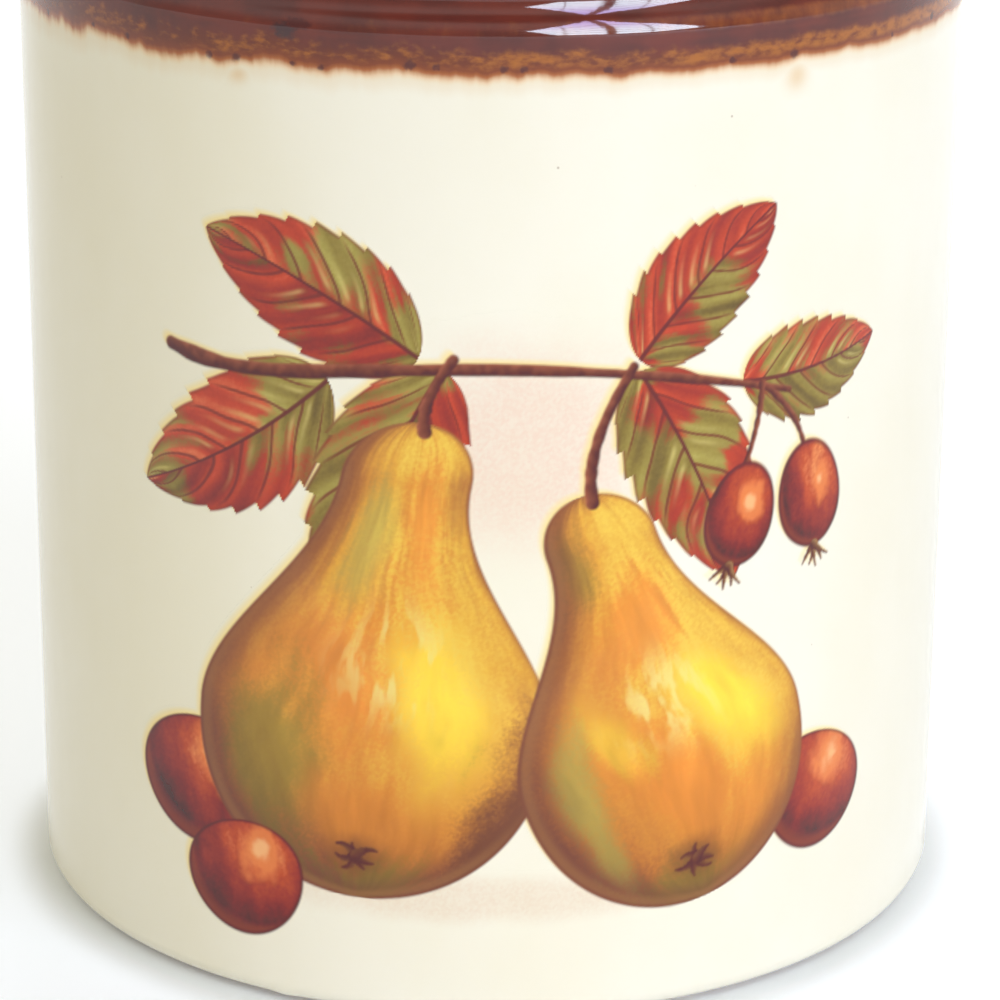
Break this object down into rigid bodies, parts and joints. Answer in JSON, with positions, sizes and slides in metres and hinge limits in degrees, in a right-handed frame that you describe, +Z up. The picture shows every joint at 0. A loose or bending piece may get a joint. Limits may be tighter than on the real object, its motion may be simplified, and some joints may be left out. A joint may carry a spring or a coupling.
{
  "type": "ceramic canister",
  "caption": "Straight-sided stoneware food canister with a stepped shoulder, foot ring and a lift-off lid with a cast knob, closed by a lip seal round the lid's skirt.",
  "frame": {"origin": "centre of the foot ring, on the surface that the canister stands on", "axes": "+Z up along the axis of the jar, the decorated front faces -Y, +X to the right of the front"},
  "size_m": [0.165, 0.165, 0.2268],
  "materials": {
    "cream_glaze": "gloss cream glaze on buff stoneware, bare at the foot ring",
    "brown_glaze": "gloss red-brown dip glaze breaking to honey at its edges",
    "soft_seal": "satin ivory elastomer"
  },
  "bodies": {
    "canister": {"canister_body": "cream_glaze"},
    "seal": {"lid_seal": "soft_seal"},
    "lid": {"lid": "brown_glaze"}
  },
  "joints": [
    {"name": "lid_lift", "type": "slide", "parent": "canister", "child": "seal", "axis": [0, 0, 1], "range_m": [0, 0.15]},
    {"name": "lid_turn", "type": "hinge", "parent": "seal", "child": "lid", "pos_m": [0, 0, 0.177], "axis": [0, 0, 1], "continuous": true}
  ]
}
